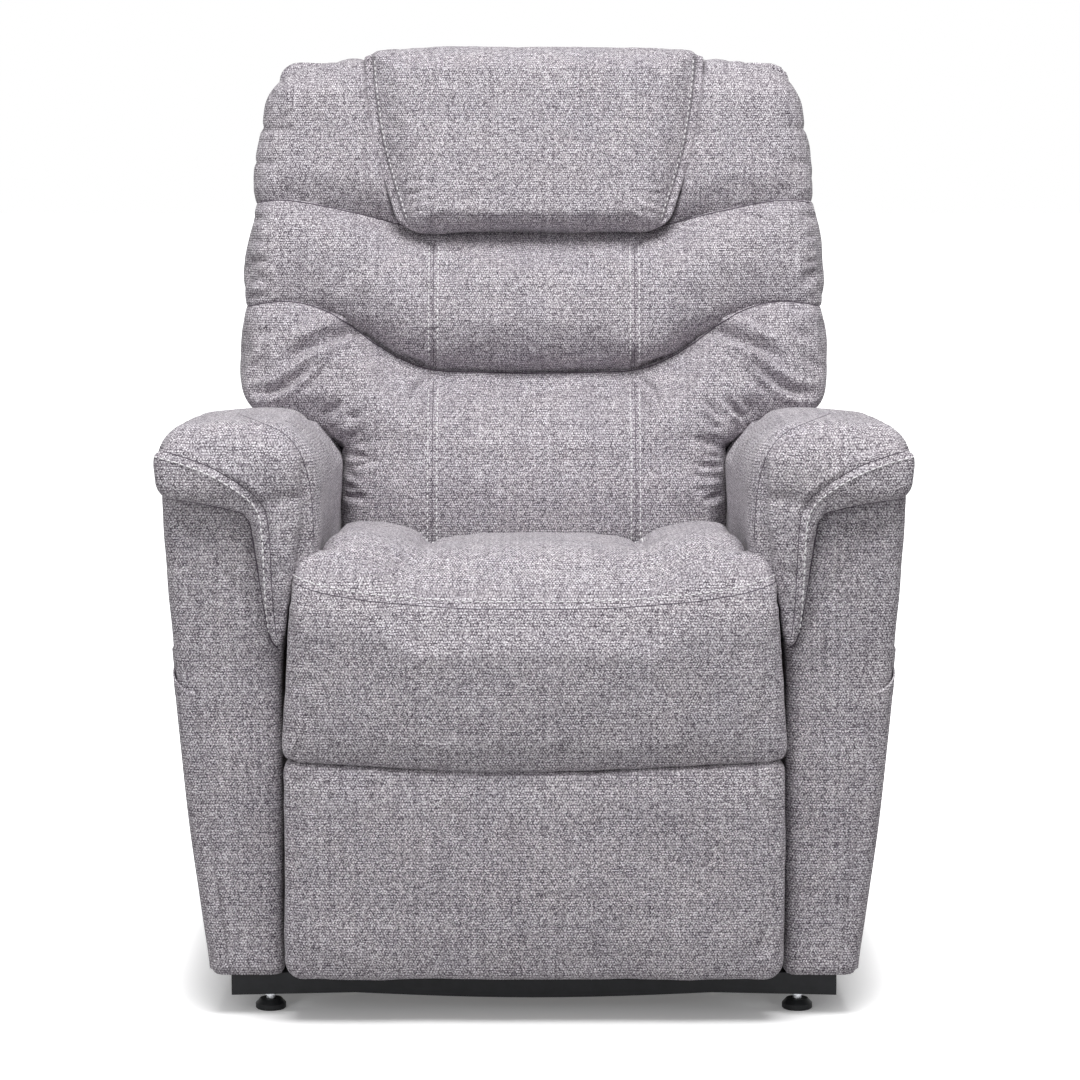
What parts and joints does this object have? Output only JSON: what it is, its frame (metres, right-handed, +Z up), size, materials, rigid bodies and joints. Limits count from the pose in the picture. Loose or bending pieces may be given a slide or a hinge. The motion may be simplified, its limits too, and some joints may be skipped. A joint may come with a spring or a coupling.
{
  "type": "lift recliner chair",
  "caption": "Powered lift recliner armchair in heathered grey cloth: wide winged back in three sewn sections, headrest pillow, padded arms and a two-pad footrest on a steel lift base.",
  "frame": {"origin": "on the floor under the middle of the chair's box", "axes": "+Z up, -Y out of the front, +X towards the sitter's left"},
  "size_m": [0.8546, 0.886, 1.107],
  "materials": {
    "upholstery": "heathered grey-lavender woven upholstery",
    "black_steel": "black powder coat",
    "grey_steel": "dark grey powder coat",
    "zinc_steel": "bright zinc plate",
    "rod_steel": "polished",
    "black_plastic": "fine moulded texture",
    "button_plastic": "soft satin",
    "wood": "raw plywood and hardwood",
    "black_cloth": "thin non-woven and webbing"
  },
  "bodies": {
    "base": {"base_side_rails": "black_steel", "front_cross_bar": "black_steel", "rear_cross_tube": "black_steel", "foot_pads": "black_plastic", "foot_studs": "zinc_steel", "foot_jam_nuts": "zinc_steel", "base_pivot_brackets": "black_steel", "base_pivot_pins": "zinc_steel", "power_supply": "black_plastic"},
    "lift_actuator": {"lift_motor": "black_plastic", "lift_actuator_tube": "black_plastic"},
    "lift_actuator_rod": {"lift_rod": "rod_steel"},
    "rear_lift_arm": {"rear_lift_arms": "grey_steel", "lift_torque_tube": "grey_steel"},
    "front_lift_link": {"front_lift_links": "grey_steel"},
    "chassis": {"chassis_side_plates": "black_steel", "chassis_cross_tubes": "black_steel", "chassis_pivot_pins": "zinc_steel", "seat_frame": "wood", "seat_springs": "zinc_steel", "seat_cushion": "upholstery", "arm_frame_left": "wood", "arm_frame_right": "wood", "arm_panel_left": "upholstery", "arm_panel_right": "upholstery", "arm_pad_left": "upholstery", "arm_pad_right": "upholstery", "side_pocket_left": "upholstery", "side_pocket_right": "upholstery", "arm_dust_covers": "black_cloth", "footrest_hinge_brackets": "black_steel", "control_box": "black_plastic"},
    "footrest_crank": {"footrest_torque_tube": "grey_steel"},
    "footrest_push_link": {"footrest_push_links": "grey_steel"},
    "footrest": {"footrest_upper_pad": "upholstery", "footrest_upper_board": "wood", "footrest_lower_pad": "upholstery", "footrest_lower_board": "wood", "footrest_side_plates": "black_steel"},
    "footrest_actuator": {"footrest_motor": "black_plastic", "footrest_actuator_tube": "black_plastic"},
    "footrest_actuator_rod": {"footrest_rod": "rod_steel"},
    "back": {"back_frame": "wood", "back_torque_tube": "black_steel", "back_webbing": "black_cloth", "back_lower_section": "upholstery", "back_middle_section": "upholstery", "back_upper_section": "upholstery", "back_rear_cover": "upholstery"},
    "back_actuator": {"back_motor": "black_plastic", "back_actuator_tube": "black_plastic"},
    "back_actuator_rod": {"back_rod": "rod_steel"},
    "headrest": {"headrest_pillow": "upholstery", "headrest_board": "wood"},
    "handset": {"handset_shell": "black_plastic"},
    "button_up": {"handset_button_up": "button_plastic"},
    "button_down": {"handset_button_down": "button_plastic"},
    "button_head_up": {"handset_button_head_up": "button_plastic"},
    "button_head_down": {"handset_button_head_down": "button_plastic"}
  },
  "joints": [
    {"name": "lift", "type": "hinge", "parent": "base", "child": "rear_lift_arm", "pos_m": [0, -0.281, 0.101], "axis": [1, 0, 0], "range_deg": [0, 36]},
    {"name": "chassis_tilt", "type": "hinge", "parent": "rear_lift_arm", "child": "chassis", "pos_m": [0, 0.265, 0.199], "axis": [1, 0, 0], "range_deg": [-11.2, 0.1]},
    {"name": "front_link_swing", "type": "hinge", "parent": "base", "child": "front_lift_link", "pos_m": [0, -0.335, 0.122], "axis": [1, 0, 0], "range_deg": [-0.1, 39.3]},
    {"name": "lift_actuator_swing", "type": "hinge", "parent": "base", "child": "lift_actuator", "pos_m": [0, 0.317, 0.09], "axis": [1, 0, 0], "range_deg": [-0.1, 1.6]},
    {"name": "lift_rod_slide", "type": "slide", "parent": "lift_actuator", "child": "lift_actuator_rod", "axis": [0, -0.9596, 0.2814], "range_m": [-0.001, 0.0985]},
    {"name": "footrest", "type": "hinge", "parent": "chassis", "child": "footrest", "pos_m": [0, -0.415, 0.455], "axis": [-1, 0, 0], "range_deg": [0, 85]},
    {"name": "footrest_crank_turn", "type": "hinge", "parent": "chassis", "child": "footrest_crank", "pos_m": [0, -0.123, 0.3], "axis": [-1, 0, 0], "range_deg": [-0.1, 85.1]},
    {"name": "footrest_push_turn", "type": "hinge", "parent": "footrest_crank", "child": "footrest_push_link", "pos_m": [0, -0.061, 0.145], "axis": [-1, 0, 0], "range_deg": [-85.1, 0.1]},
    {"name": "footrest_actuator_swing", "type": "hinge", "parent": "chassis", "child": "footrest_actuator", "pos_m": [-0.09, 0.177, 0.24], "axis": [-1, 0, 0], "range_deg": [-2, 0.1]},
    {"name": "footrest_rod_slide", "type": "slide", "parent": "footrest_actuator", "child": "footrest_actuator_rod", "axis": [0, -0.9973, 0.0738], "range_m": [-0.001, 0.0755]},
    {"name": "back_recline", "type": "hinge", "parent": "chassis", "child": "back", "pos_m": [0, 0.177, 0.345], "axis": [-1, 0, 0], "range_deg": [0, 40]},
    {"name": "back_actuator_swing", "type": "hinge", "parent": "chassis", "child": "back_actuator", "pos_m": [0.09, -0.208, 0.255], "axis": [-1, 0, 0], "range_deg": [-0.1, 1.5]},
    {"name": "back_rod_slide", "type": "slide", "parent": "back_actuator", "child": "back_actuator_rod", "axis": [0, 0.9994, 0.0352], "range_m": [-0.0585, 0.001]},
    {"name": "headrest_tilt", "type": "hinge", "parent": "back", "child": "headrest", "pos_m": [0, 0.24765, 0.884], "axis": [1, 0, 0], "range_deg": [0, 16]},
    {"name": "handset_lift_out", "type": "slide", "parent": "chassis", "child": "handset", "axis": [-0.1272, 0, 0.9919], "range_m": [0, 0.18]},
    {"name": "press_up", "type": "slide", "parent": "handset", "child": "button_up", "axis": [0.9919, 0, 0.1272], "range_m": [0, 0.0015], "stiffness_N_per_m": 400},
    {"name": "press_down", "type": "slide", "parent": "handset", "child": "button_down", "axis": [0.9919, 0, 0.1272], "range_m": [0, 0.0015], "stiffness_N_per_m": 400},
    {"name": "press_head_up", "type": "slide", "parent": "handset", "child": "button_head_up", "axis": [0.9919, 0, 0.1272], "range_m": [0, 0.0015], "stiffness_N_per_m": 400},
    {"name": "press_head_down", "type": "slide", "parent": "handset", "child": "button_head_down", "axis": [0.9919, 0, 0.1272], "range_m": [0, 0.0015], "stiffness_N_per_m": 400}
  ],
  "couplings": [
    {"joint": "chassis_tilt", "follows": "lift", "ratio": -0.309},
    {"joint": "front_link_swing", "follows": "lift", "ratio": 1.0872},
    {"joint": "lift_actuator_swing", "follows": "lift", "ratio": 0.0353},
    {"joint": "lift_rod_slide", "follows": "lift", "m_per_rad": 0.15604},
    {"joint": "footrest_crank_turn", "follows": "footrest", "ratio": 1},
    {"joint": "footrest_push_turn", "follows": "footrest", "ratio": -1},
    {"joint": "footrest_actuator_swing", "follows": "footrest", "ratio": -0.01976},
    {"joint": "footrest_rod_slide", "follows": "footrest", "m_per_rad": 0.050474},
    {"joint": "back_actuator_swing", "follows": "back_recline", "ratio": 0.02861},
    {"joint": "back_rod_slide", "follows": "back_recline", "m_per_rad": -0.08269}
  ]
}
